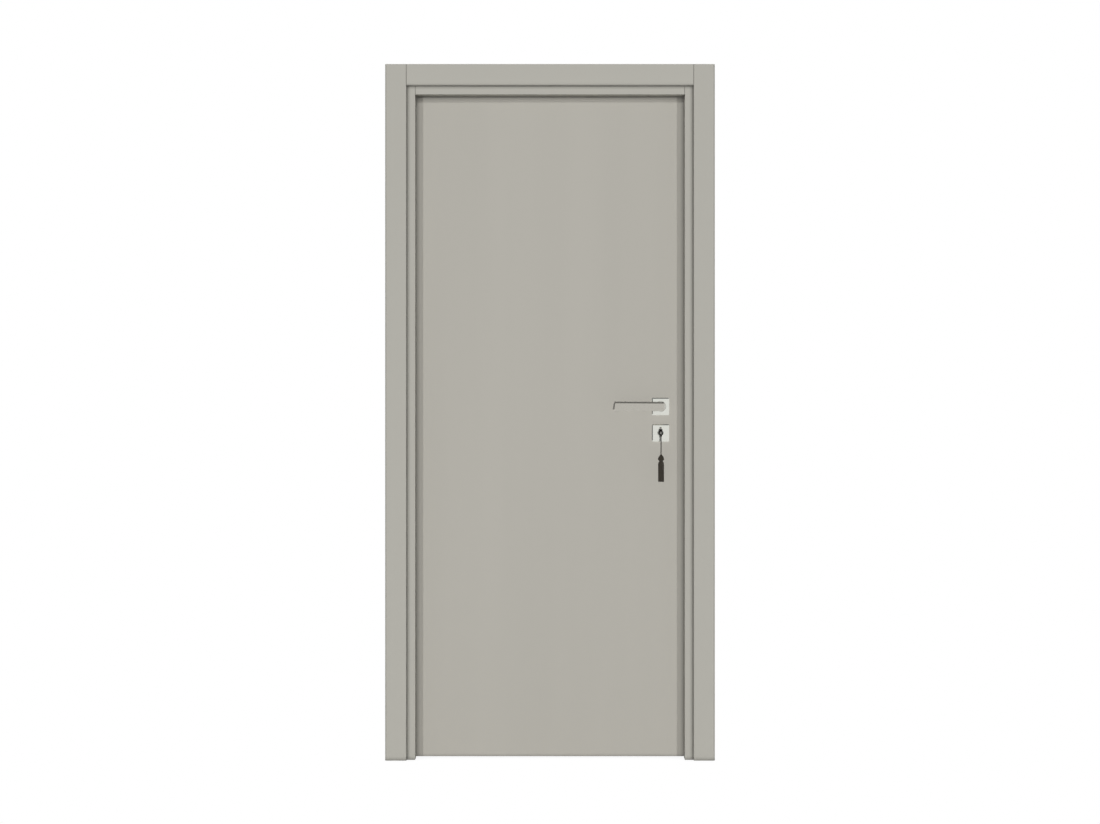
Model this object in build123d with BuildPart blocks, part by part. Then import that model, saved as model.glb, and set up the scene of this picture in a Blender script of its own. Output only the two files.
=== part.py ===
"""A flush interior door set: rebated lining, architraves both sides, hollow leaf, hinges, lock, levers and key.

The push side faces -Y, the leaf opens towards +Y, and the hinges are at low X.
The origin is on the hinge jamb's wall face, at floor level, in the middle of the wall.
"""

import os

from build123d import *

os.makedirs("parts", exist_ok=True)

# Doorway and lining
OPENING_WIDTH = 820
OPENING_HEIGHT = 2022
WALL_DEPTH = 100
STOP_DEPTH = 50
STOP_PROJECTION = 15
REBATE_THICKNESS = 25

# Architraves
ARCHITRAVE_WIDTH = 64
ARCHITRAVE_THICKNESS = 15
ARCHITRAVE_SETBACK = 26
ARCHITRAVE_OUTER_BEVEL = 4
ARCHITRAVE_INNER_RADIUS = 2
HEAD_LOWER_BEVEL = 8
BUTT_CHAMFER = 1.6

# Leaf
LEAF_GAP = 5
FLOOR_GAP = 3
STOP_GAP = 5
LEAF_THICKNESS = 43
SKIN_THICKNESS = 4
SKIN_EDGE_RADIUS = 1
STILE_WIDTH = 45
RAIL_HEIGHT = 70

# Seal in the stop
SEAL_GROOVE_WIDTH = 4
SEAL_GROOVE_DEPTH = 5
SEAL_EDGE_DISTANCE = 5
SEAL_LEAF_CLEARANCE = 0.4
SEAL_BULB_RADIUS = 2.6

# Hinges
HINGE_LENGTH = 100
HINGE_END_DISTANCE = 190
FLAP_THICKNESS = 2
FLAP_INSET = 38
KNUCKLE_RADIUS = 7
KNUCKLE_COUNT = 5
KNUCKLE_GAP = 0.4
KNUCKLE_SWEEP_GAP = 0.6
PIN_RADIUS = 4
PIN_CLEARANCE = 0.08
PIN_TIP_HEIGHT = 5
PIN_TIP_RADIUS = 2.4
AXIS_STAND_OFF = 8

# Lock
SPINDLE_HEIGHT = 1074
KEY_DROP = 73
BACKSET = 82
FOREND_THICKNESS = 3
FOREND_WIDTH = 20
FOREND_LENGTH = 235
CASE_THICKNESS = 16
CASE_DEPTH = 110
CASE_HEIGHT = 165
CASE_WALL = 2.5
CASE_CLEARANCE = 0.3
FOLLOWER_BORE = 20
LOCK_BLOCK_WIDTH = 130
LOCK_BLOCK_HEIGHT = 300
LATCH_WIDTH = 12
LATCH_HEIGHT = 18
LATCH_LENGTH = 26
LATCH_NOSE_DEPTH = 6
LATCH_NOSE_WIDTH = 3
BOLT_WIDTH = 9
BOLT_HEIGHT = 28
BOLT_LENGTH = 30
BOLT_RISE = 20
BOLT_CLEARANCE = 0.2

# Strike plate
STRIKE_THICKNESS = 2
STRIKE_WIDTH = 22
STRIKE_LENGTH = 170
STRIKE_CUT_MARGIN = 2
LIP_HEIGHT = 34
KEEP_DEPTH = 16

# Lever handles
PLATE_SIZE = 53
PLATE_THICKNESS = 8
PLATE_BEVEL_WIDTH = 3.2
PLATE_BEVEL_DEPTH = 1.3
PLATE_CORNER = 3.5
COLLAR_BOSS_RADIUS = 16.5
COLLAR_BOSS_HEIGHT = 1.5
COLLAR_BOSS_BEVEL = 1
NECK_RADIUS = 11
NECK_WAIST_RADIUS = 9.5
NECK_CLEARANCE = 0.08
NECK_LAND = 6
NECK_FACE_GAP = 0.5
LEVER_REACH = 148
LEVER_SLANT = 4
LEVER_HEEL = 11
LEVER_HEEL_HEIGHT = 27
LEVER_TIP_HEIGHT = 29
LEVER_THICKNESS = 10
LEVER_STAND_OFF = 46
LEVER_BEVEL_WIDTH = 5
LEVER_BEVEL_DEPTH = 2
LEVER_EDGE_RADIUS = 1.2
LEVER_CORNER_RADIUS = 6
SPINDLE_SIZE = 8
SPINDLE_SOCKET_DEPTH = 30
SPINDLE_CLEARANCE = 0.05

# Key
KEY_PLATE_DROP = 8
KEYHOLE_RADIUS = 4.5
KEYHOLE_SLOT_WIDTH = 5
KEYHOLE_SLOT_DEPTH = 15
SKIN_HOLE_MARGIN = 2
SHANK_RADIUS = 3
SHANK_CLEARANCE = 0.08
KEY_TIP_LENGTH = 2
COLLAR_RADIUS = 4
COLLAR_LENGTH = 4
BOW_LENGTH = 22
BOW_HEIGHT = 20
BOW_BAR = 4.4
BOW_THICKNESS = 4
BOW_CORNER_RADIUS = 6
BOW_EDGE_RADIUS = 1
BOW_STAND_OFF = 9
BIT_DROP = 11
BIT_THICKNESS = 3
BIT_LENGTH = 8
BIT_NOTCH = 2
BIT_CAVITY_MARGIN = 3

# Tassel on the key
HITCH_RADIUS = 4.75
HITCH_HEIGHT = 7.6
HITCH_CLEARANCE = 0.05
HITCH_LOOP_GAP = 0.3
LOOP_RADIUS = 6
LOOP_DROP = 8
CORD_RADIUS = 1.5
LOOP_CORD_RADIUS = 1.3
KNOT_RADIUS = 3
KNOT_HEIGHT = 6
CORD_LENGTH = 54
TASSEL_HEAD_RADIUS = 9.3
TASSEL_HEAD_HEIGHT = 20
TASSEL_HEAD_BELLY = 13
TASSEL_NECK_RADIUS = 5.8
TASSEL_SKIRT_RADIUS = 9
TASSEL_SKIRT_LENGTH = 64
TASSEL_SKIRT_SHOULDER = 7

# Planes and edges that the pieces share
JAMB_THICKNESS = REBATE_THICKNESS + STOP_PROJECTION
FRAME_WIDTH = OPENING_WIDTH + 2 * JAMB_THICKNESS
FRAME_HEIGHT = OPENING_HEIGHT + JAMB_THICKNESS
REBATE_HEAD = OPENING_HEIGHT + STOP_PROJECTION
FRONT_EDGE = -WALL_DEPTH / 2
BACK_EDGE = WALL_DEPTH / 2
SHOULDER = FRONT_EDGE + STOP_DEPTH
LEAF_FRONT = SHOULDER + STOP_GAP
LEAF_BACK = LEAF_FRONT + LEAF_THICKNESS
LEAF_MIDDLE = (LEAF_FRONT + LEAF_BACK) / 2
CORE_FRONT = LEAF_FRONT + SKIN_THICKNESS
CORE_THICKNESS = LEAF_THICKNESS - 2 * SKIN_THICKNESS
LEAF_HINGE_EDGE = REBATE_THICKNESS + LEAF_GAP
LEAF_LOCK_EDGE = FRAME_WIDTH - LEAF_HINGE_EDGE
LEAF_BOTTOM = FLOOR_GAP
LEAF_TOP = REBATE_HEAD - LEAF_GAP
LEAF_HEIGHT = LEAF_TOP - LEAF_BOTTOM
SPINDLE_X = LEAF_LOCK_EDGE - BACKSET
KEY_HEIGHT = SPINDLE_HEIGHT - KEY_DROP
LATCH_CENTRE = SPINDLE_HEIGHT
BOLT_CENTRE = KEY_HEIGHT + BOLT_RISE
LOCK_CENTRE = (SPINDLE_HEIGHT + KEY_HEIGHT) / 2


def save(piece, name):
    """Label a finished piece and write it to its own file."""
    piece.part.label = name
    export_step(piece.part, f"parts/{name}.step")


def upright(low_x, high_x, low_y, high_y, mode=Mode.ADD):
    """Draw a rectangle of a plan section between its corners."""
    with Locations(((low_x + high_x) / 2, (low_y + high_y) / 2)):
        Rectangle(abs(high_x - low_x), abs(high_y - low_y), mode=mode)


# Hinge positions
HINGE_AXIS_X = REBATE_THICKNESS + LEAF_GAP / 2
HINGE_AXIS_Y = BACK_EDGE + AXIS_STAND_OFF
FLAP_FRONT = BACK_EDGE - FLAP_INSET
FLAP_BACK = HINGE_AXIS_Y - PIN_RADIUS
KNUCKLE_PITCH = HINGE_LENGTH / KNUCKLE_COUNT
hinge_bottoms = {
    "lower": LEAF_BOTTOM + HINGE_END_DISTANCE,
    "middle": (LEAF_BOTTOM + LEAF_TOP - HINGE_LENGTH) / 2,
    "upper": LEAF_TOP - HINGE_END_DISTANCE - HINGE_LENGTH,
}

# Seal section, measured in from the lining's wall face
SEAL_CENTRE = JAMB_THICKNESS - SEAL_EDGE_DISTANCE
SEAL_TIP = LEAF_FRONT - SEAL_LEAF_CLEARANCE

# Side jambs, each a rebated lining with a seal groove in the shoulder
for side, wall_face, inward in (("hinge", 0, 1), ("strike", FRAME_WIDTH, -1)):
    with BuildPart() as jamb:
        with BuildSketch(Plane.XY):
            upright(wall_face, wall_face + inward * JAMB_THICKNESS, FRONT_EDGE, SHOULDER)
            upright(wall_face, wall_face + inward * REBATE_THICKNESS, SHOULDER, BACK_EDGE)
            groove = wall_face + inward * SEAL_CENTRE
            upright(
                groove - SEAL_GROOVE_WIDTH / 2,
                groove + SEAL_GROOVE_WIDTH / 2,
                SHOULDER - SEAL_GROOVE_DEPTH,
                SHOULDER,
                mode=Mode.SUBTRACT,
            )
        extrude(amount=FRAME_HEIGHT)
        rebate = wall_face + inward * REBATE_THICKNESS
        if side == "hinge":
            for bottom in hinge_bottoms.values():
                with BuildSketch(Plane.XY.offset(bottom)):
                    upright(rebate - FLAP_THICKNESS, rebate, FLAP_FRONT, BACK_EDGE)
                extrude(amount=HINGE_LENGTH, mode=Mode.SUBTRACT)
        else:
            with BuildSketch(Plane.XY.offset(LOCK_CENTRE - STRIKE_LENGTH / 2)):
                upright(
                    rebate,
                    rebate + STRIKE_THICKNESS,
                    LEAF_MIDDLE - STRIKE_WIDTH / 2,
                    LEAF_MIDDLE + STRIKE_WIDTH / 2,
                )
            extrude(amount=STRIKE_LENGTH, mode=Mode.SUBTRACT)
            with BuildSketch(Plane.XY.offset(LATCH_CENTRE - LIP_HEIGHT / 2)):
                upright(rebate, rebate + STRIKE_THICKNESS, LEAF_MIDDLE, BACK_EDGE)
            extrude(amount=LIP_HEIGHT, mode=Mode.SUBTRACT)
            for centre, width, height in (
                (LATCH_CENTRE, LATCH_WIDTH, LATCH_HEIGHT),
                (BOLT_CENTRE, BOLT_WIDTH, BOLT_HEIGHT),
            ):
                keep_width = width + 2 * STRIKE_CUT_MARGIN
                keep_height = height + 2 * STRIKE_CUT_MARGIN
                with BuildSketch(Plane.YZ.offset(rebate)):
                    with Locations((LEAF_MIDDLE, centre)):
                        Rectangle(keep_width, keep_height)
                extrude(amount=STRIKE_THICKNESS + KEEP_DEPTH, mode=Mode.SUBTRACT)
    save(jamb, f"{side}_jamb")

    with BuildPart() as seal:
        with BuildSketch(Plane.XY):
            upright(
                groove - SEAL_GROOVE_WIDTH / 2,
                groove + SEAL_GROOVE_WIDTH / 2,
                SHOULDER - SEAL_GROOVE_DEPTH,
                SHOULDER,
            )
            with Locations((groove, SEAL_TIP - SEAL_BULB_RADIUS)):
                Circle(SEAL_BULB_RADIUS)
        extrude(amount=OPENING_HEIGHT + SEAL_EDGE_DISTANCE - SEAL_BULB_RADIUS)
    save(seal, f"{side}_side_seal")

# Head jamb between the side jambs
with BuildPart() as head_jamb:
    with BuildSketch(Plane.XY.offset(OPENING_HEIGHT)):
        upright(JAMB_THICKNESS, FRAME_WIDTH - JAMB_THICKNESS, FRONT_EDGE, SHOULDER)
    extrude(amount=JAMB_THICKNESS)
    with BuildSketch(Plane.XY.offset(REBATE_HEAD)):
        upright(REBATE_THICKNESS, FRAME_WIDTH - REBATE_THICKNESS, SHOULDER, BACK_EDGE)
    extrude(amount=REBATE_THICKNESS)
    with BuildSketch(Plane.XY.offset(OPENING_HEIGHT + SEAL_EDGE_DISTANCE - SEAL_GROOVE_WIDTH / 2)):
        upright(JAMB_THICKNESS, FRAME_WIDTH - JAMB_THICKNESS, SHOULDER - SEAL_GROOVE_DEPTH, SHOULDER)
    extrude(amount=SEAL_GROOVE_WIDTH, mode=Mode.SUBTRACT)
    chamfer(head_jamb.faces().sort_by(Axis.Y)[0].edges().filter_by(Axis.Z), BUTT_CHAMFER)
save(head_jamb, "head_jamb")

with BuildPart() as head_seal:
    with BuildSketch(Plane.YZ.offset(JAMB_THICKNESS)):
        with Locations((SHOULDER - SEAL_GROOVE_DEPTH / 2, OPENING_HEIGHT + SEAL_EDGE_DISTANCE)):
            Rectangle(SEAL_GROOVE_DEPTH, SEAL_GROOVE_WIDTH)
        with Locations((SEAL_TIP - SEAL_BULB_RADIUS, OPENING_HEIGHT + SEAL_EDGE_DISTANCE)):
            Circle(SEAL_BULB_RADIUS)
    extrude(amount=OPENING_WIDTH)
save(head_seal, "head_seal")

# Architraves, on the lining's front and back edges
LEG_INNER = JAMB_THICKNESS - ARCHITRAVE_SETBACK
HEAD_INNER = OPENING_HEIGHT + ARCHITRAVE_SETBACK
for face, seat, outward in (("front", FRONT_EDGE, -1), ("back", BACK_EDGE, 1)):
    show_face = 0 if outward < 0 else -1
    for side, inner_edge, wallward in (
        ("hinge", LEG_INNER, -1),
        ("strike", FRAME_WIDTH - LEG_INNER, 1),
    ):
        with BuildPart() as leg:
            with BuildSketch(Plane.XY) as leg_section:
                upright(
                    inner_edge,
                    inner_edge + wallward * ARCHITRAVE_WIDTH,
                    seat,
                    seat + outward * ARCHITRAVE_THICKNESS,
                )
                shown = leg_section.vertices().group_by(Axis.Y)[show_face].sort_by(Axis.X)
                outer_corner, inner_corner = shown if wallward < 0 else reversed(shown)
                chamfer(outer_corner, ARCHITRAVE_OUTER_BEVEL)
                fillet(inner_corner, ARCHITRAVE_INNER_RADIUS)
            extrude(amount=HEAD_INNER + ARCHITRAVE_WIDTH)
        save(leg, f"{face}_{side}_architrave")

    with BuildPart() as head_architrave:
        with BuildSketch(Plane.YZ.offset(LEG_INNER)) as head_section:
            with Locations((seat + outward * ARCHITRAVE_THICKNESS / 2, HEAD_INNER + ARCHITRAVE_WIDTH / 2)):
                Rectangle(ARCHITRAVE_THICKNESS, ARCHITRAVE_WIDTH)
            shown = head_section.vertices().group_by(Axis.Y)[show_face].sort_by(Axis.Z)
            lower_corner, upper_corner = shown
            chamfer(upper_corner, ARCHITRAVE_OUTER_BEVEL)
            chamfer(lower_corner, HEAD_LOWER_BEVEL)
        extrude(amount=FRAME_WIDTH - 2 * LEG_INNER)
        ends = head_architrave.faces().filter_by(Axis.X)
        end_edges = [face_end.edges().filter_by(Axis.Z).group_by(Axis.Y)[show_face] for face_end in ends]
        chamfer([edge for group in end_edges for edge in group], BUTT_CHAMFER)
    save(head_architrave, f"{face}_head_architrave")

# Leaf frame between the skins
with BuildPart() as hinge_stile:
    with BuildSketch(Plane.XY.offset(LEAF_BOTTOM)):
        upright(LEAF_HINGE_EDGE, LEAF_HINGE_EDGE + STILE_WIDTH, CORE_FRONT, CORE_FRONT + CORE_THICKNESS)
    extrude(amount=LEAF_HEIGHT)
    for bottom in hinge_bottoms.values():
        with BuildSketch(Plane.XY.offset(bottom)):
            upright(LEAF_HINGE_EDGE, LEAF_HINGE_EDGE + FLAP_THICKNESS, FLAP_FRONT, LEAF_BACK)
        extrude(amount=HINGE_LENGTH, mode=Mode.SUBTRACT)
save(hinge_stile, "leaf_hinge_stile")

CASE_BACK = LEAF_LOCK_EDGE - FOREND_THICKNESS - CASE_DEPTH
CASE_BOTTOM = LOCK_CENTRE - CASE_HEIGHT / 2
FOREND_BOTTOM = LOCK_CENTRE - FOREND_LENGTH / 2
with BuildPart() as lock_stile:
    with BuildSketch(Plane.XY.offset(LEAF_BOTTOM)):
        upright(LEAF_LOCK_EDGE - STILE_WIDTH, LEAF_LOCK_EDGE, CORE_FRONT, CORE_FRONT + CORE_THICKNESS)
    extrude(amount=LEAF_HEIGHT)
    with BuildSketch(Plane.XY.offset(LOCK_CENTRE - LOCK_BLOCK_HEIGHT / 2)):
        upright(LEAF_LOCK_EDGE - LOCK_BLOCK_WIDTH, LEAF_LOCK_EDGE, CORE_FRONT, CORE_FRONT + CORE_THICKNESS)
    extrude(amount=LOCK_BLOCK_HEIGHT)
    with BuildSketch(Plane.XY.offset(CASE_BOTTOM - CASE_CLEARANCE)):
        upright(
            CASE_BACK - CASE_CLEARANCE,
            LEAF_LOCK_EDGE,
            LEAF_MIDDLE - CASE_THICKNESS / 2 - CASE_CLEARANCE,
            LEAF_MIDDLE + CASE_THICKNESS / 2 + CASE_CLEARANCE,
        )
    extrude(amount=CASE_HEIGHT + 2 * CASE_CLEARANCE, mode=Mode.SUBTRACT)
    with BuildSketch(Plane.XY.offset(FOREND_BOTTOM)):
        upright(
            LEAF_LOCK_EDGE - FOREND_THICKNESS,
            LEAF_LOCK_EDGE,
            LEAF_MIDDLE - FOREND_WIDTH / 2,
            LEAF_MIDDLE + FOREND_WIDTH / 2,
        )
    extrude(amount=FOREND_LENGTH, mode=Mode.SUBTRACT)
    with BuildSketch(Plane.XZ.offset(-CORE_FRONT)):
        with Locations((SPINDLE_X, SPINDLE_HEIGHT)):
            Circle(NECK_RADIUS)
        with Locations((SPINDLE_X, KEY_HEIGHT)):
            Circle(KEYHOLE_RADIUS + SKIN_HOLE_MARGIN)
        upright(
            SPINDLE_X - KEYHOLE_SLOT_WIDTH / 2 - SKIN_HOLE_MARGIN,
            SPINDLE_X + KEYHOLE_SLOT_WIDTH / 2 + SKIN_HOLE_MARGIN,
            KEY_HEIGHT - KEYHOLE_SLOT_DEPTH - SKIN_HOLE_MARGIN,
            KEY_HEIGHT,
        )
    extrude(amount=-CORE_THICKNESS, mode=Mode.SUBTRACT)
save(lock_stile, "leaf_lock_stile")

for rail, bottom in (("top", LEAF_TOP - RAIL_HEIGHT), ("bottom", LEAF_BOTTOM)):
    with BuildPart() as cross_rail:
        with BuildSketch(Plane.XY.offset(bottom)):
            upright(
                LEAF_HINGE_EDGE + STILE_WIDTH,
                LEAF_LOCK_EDGE - STILE_WIDTH,
                CORE_FRONT,
                CORE_FRONT + CORE_THICKNESS,
            )
        extrude(amount=RAIL_HEIGHT)
    save(cross_rail, f"leaf_{rail}_rail")

# Leaf skins, with the handle and key holes through both
for face, low_y in (("front", LEAF_FRONT), ("back", LEAF_BACK - SKIN_THICKNESS)):
    with BuildPart() as skin:
        with BuildSketch(Plane.XZ.offset(-low_y)):
            upright(LEAF_HINGE_EDGE, LEAF_LOCK_EDGE, LEAF_BOTTOM, LEAF_TOP)
        extrude(amount=-SKIN_THICKNESS)
        show_face = 0 if face == "front" else -1
        fillet(skin.faces().sort_by(Axis.Y)[show_face].edges(), SKIN_EDGE_RADIUS)
        with BuildSketch(Plane.XZ.offset(-low_y)):
            with Locations((SPINDLE_X, SPINDLE_HEIGHT)):
                Circle(NECK_RADIUS)
            with Locations((SPINDLE_X, KEY_HEIGHT)):
                Circle(KEYHOLE_RADIUS + SKIN_HOLE_MARGIN)
            upright(
                SPINDLE_X - KEYHOLE_SLOT_WIDTH / 2 - SKIN_HOLE_MARGIN,
                SPINDLE_X + KEYHOLE_SLOT_WIDTH / 2 + SKIN_HOLE_MARGIN,
                KEY_HEIGHT - KEYHOLE_SLOT_DEPTH - SKIN_HOLE_MARGIN,
                KEY_HEIGHT,
            )
        extrude(amount=-SKIN_THICKNESS, mode=Mode.SUBTRACT)
        if face == "back":
            for bottom in hinge_bottoms.values():
                with BuildSketch(Plane.XY.offset(bottom)):
                    upright(LEAF_HINGE_EDGE, LEAF_HINGE_EDGE + FLAP_THICKNESS, low_y, LEAF_BACK)
                extrude(amount=HINGE_LENGTH, mode=Mode.SUBTRACT)
    save(skin, f"leaf_{face}_skin")

# Butt hinges: interleaved knuckles, odd ones and the pin on the frame flap, even ones on the leaf flap
for level, bottom in hinge_bottoms.items():
    for owner, flap_low_x, own_start in (
        ("frame", REBATE_THICKNESS - FLAP_THICKNESS, 0),
        ("leaf", LEAF_HINGE_EDGE, 1),
    ):
        with BuildPart() as flap:
            with BuildSketch(Plane.XY.offset(bottom)):
                upright(flap_low_x, flap_low_x + FLAP_THICKNESS, FLAP_FRONT, FLAP_BACK)
            extrude(amount=HINGE_LENGTH)
            for number in range(KNUCKLE_COUNT):
                start = bottom + number * KNUCKLE_PITCH
                if number % 2 != own_start:
                    with BuildSketch(Plane.XY.offset(start)):
                        with Locations((HINGE_AXIS_X, HINGE_AXIS_Y)):
                            Circle(KNUCKLE_RADIUS + KNUCKLE_SWEEP_GAP)
                    extrude(amount=KNUCKLE_PITCH, mode=Mode.SUBTRACT)
            for number in range(own_start, KNUCKLE_COUNT, 2):
                start = bottom + number * KNUCKLE_PITCH + KNUCKLE_GAP / 2
                with BuildSketch(Plane.XY.offset(start)):
                    with Locations((HINGE_AXIS_X, HINGE_AXIS_Y)):
                        Circle(KNUCKLE_RADIUS)
                extrude(amount=KNUCKLE_PITCH - KNUCKLE_GAP)
            if owner == "frame":
                with BuildSketch(Plane.XY.offset(bottom - PIN_TIP_HEIGHT)):
                    with Locations((HINGE_AXIS_X, HINGE_AXIS_Y)):
                        Circle(PIN_RADIUS)
                extrude(amount=HINGE_LENGTH + 2 * PIN_TIP_HEIGHT)
                tips = flap.edges().filter_by(GeomType.CIRCLE).group_by(Axis.Z)
                fillet(tips[0] + tips[-1], PIN_TIP_RADIUS)
            else:
                with BuildSketch(Plane.XY.offset(bottom)):
                    with Locations((HINGE_AXIS_X, HINGE_AXIS_Y)):
                        Circle(PIN_RADIUS + PIN_CLEARANCE)
                extrude(amount=HINGE_LENGTH, mode=Mode.SUBTRACT)
        save(flap, f"{level}_{owner}_hinge")

# Lock case with its forend, a bore for the lever follower and a chamber for the key bit
with BuildPart() as lock_case:
    with BuildSketch(Plane.XY.offset(CASE_BOTTOM)):
        upright(
            CASE_BACK,
            LEAF_LOCK_EDGE - FOREND_THICKNESS,
            LEAF_MIDDLE - CASE_THICKNESS / 2,
            LEAF_MIDDLE + CASE_THICKNESS / 2,
        )
    extrude(amount=CASE_HEIGHT)
    with BuildSketch(Plane.XY.offset(FOREND_BOTTOM)):
        upright(
            LEAF_LOCK_EDGE - FOREND_THICKNESS,
            LEAF_LOCK_EDGE,
            LEAF_MIDDLE - FOREND_WIDTH / 2,
            LEAF_MIDDLE + FOREND_WIDTH / 2,
        )
    extrude(amount=FOREND_LENGTH)
    with BuildSketch(Plane.XZ.offset(-(LEAF_MIDDLE - CASE_THICKNESS / 2))):
        with Locations((SPINDLE_X, SPINDLE_HEIGHT)):
            Circle(FOLLOWER_BORE / 2)
        with Locations((SPINDLE_X, KEY_HEIGHT)):
            Circle(SHANK_RADIUS + SHANK_CLEARANCE)
        upright(
            SPINDLE_X - BIT_THICKNESS,
            SPINDLE_X + BIT_THICKNESS,
            KEY_HEIGHT - BIT_DROP - BIT_CAVITY_MARGIN,
            KEY_HEIGHT - SHANK_RADIUS / 2,
        )
    extrude(amount=-CASE_THICKNESS, mode=Mode.SUBTRACT)
    with BuildSketch(Plane.XZ.offset(-(LEAF_MIDDLE - CASE_THICKNESS / 2 + CASE_WALL))):
        with Locations((SPINDLE_X, KEY_HEIGHT)):
            Circle(BIT_DROP + BIT_CAVITY_MARGIN)
    extrude(amount=-(CASE_THICKNESS - 2 * CASE_WALL), mode=Mode.SUBTRACT)
    for centre, width, height, length in (
        (LATCH_CENTRE, LATCH_WIDTH, LATCH_HEIGHT, LATCH_LENGTH),
        (BOLT_CENTRE, BOLT_WIDTH, BOLT_HEIGHT, BOLT_LENGTH),
    ):
        with BuildSketch(Plane.YZ.offset(LEAF_LOCK_EDGE)):
            with Locations((LEAF_MIDDLE, centre)):
                Rectangle(width + 2 * BOLT_CLEARANCE, height + 2 * BOLT_CLEARANCE)
        extrude(amount=-length, mode=Mode.SUBTRACT)
save(lock_case, "lock_case")

# Latch and dead bolt, both drawn in flush with the forend
with BuildPart() as latch_bolt:
    with BuildSketch(Plane.XY.offset(LATCH_CENTRE - LATCH_HEIGHT / 2)):
        upright(
            LEAF_LOCK_EDGE - LATCH_LENGTH,
            LEAF_LOCK_EDGE,
            LEAF_MIDDLE - LATCH_WIDTH / 2,
            LEAF_MIDDLE + LATCH_WIDTH / 2,
        )
    extrude(amount=LATCH_HEIGHT)
    nose = latch_bolt.faces().sort_by(Axis.X)[-1].edges().filter_by(Axis.Z).sort_by(Axis.Y)[-1]
    chamfer(nose, LATCH_NOSE_DEPTH, LATCH_NOSE_WIDTH)
save(latch_bolt, "latch_bolt")

with BuildPart() as dead_bolt:
    with BuildSketch(Plane.XY.offset(BOLT_CENTRE - BOLT_HEIGHT / 2)):
        upright(
            LEAF_LOCK_EDGE - BOLT_LENGTH,
            LEAF_LOCK_EDGE,
            LEAF_MIDDLE - BOLT_WIDTH / 2,
            LEAF_MIDDLE + BOLT_WIDTH / 2,
        )
    extrude(amount=BOLT_HEIGHT)
save(dead_bolt, "dead_bolt")

# Strike plate with its lip, let into the strike jamb
STRIKE_FACE = FRAME_WIDTH - REBATE_THICKNESS
with BuildPart() as strike_plate:
    with BuildSketch(Plane.YZ.offset(STRIKE_FACE)):
        with Locations((LEAF_MIDDLE, LOCK_CENTRE)):
            Rectangle(STRIKE_WIDTH, STRIKE_LENGTH)
        with Locations(((LEAF_MIDDLE + BACK_EDGE) / 2, LATCH_CENTRE)):
            Rectangle(BACK_EDGE - LEAF_MIDDLE, LIP_HEIGHT)
        for centre, width, height in (
            (LATCH_CENTRE, LATCH_WIDTH, LATCH_HEIGHT),
            (BOLT_CENTRE, BOLT_WIDTH, BOLT_HEIGHT),
        ):
            with Locations((LEAF_MIDDLE, centre)):
                Rectangle(
                    width + 2 * STRIKE_CUT_MARGIN,
                    height + 2 * STRIKE_CUT_MARGIN,
                    mode=Mode.SUBTRACT,
                )
    extrude(amount=STRIKE_THICKNESS)
save(strike_plate, "strike_plate")

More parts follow.
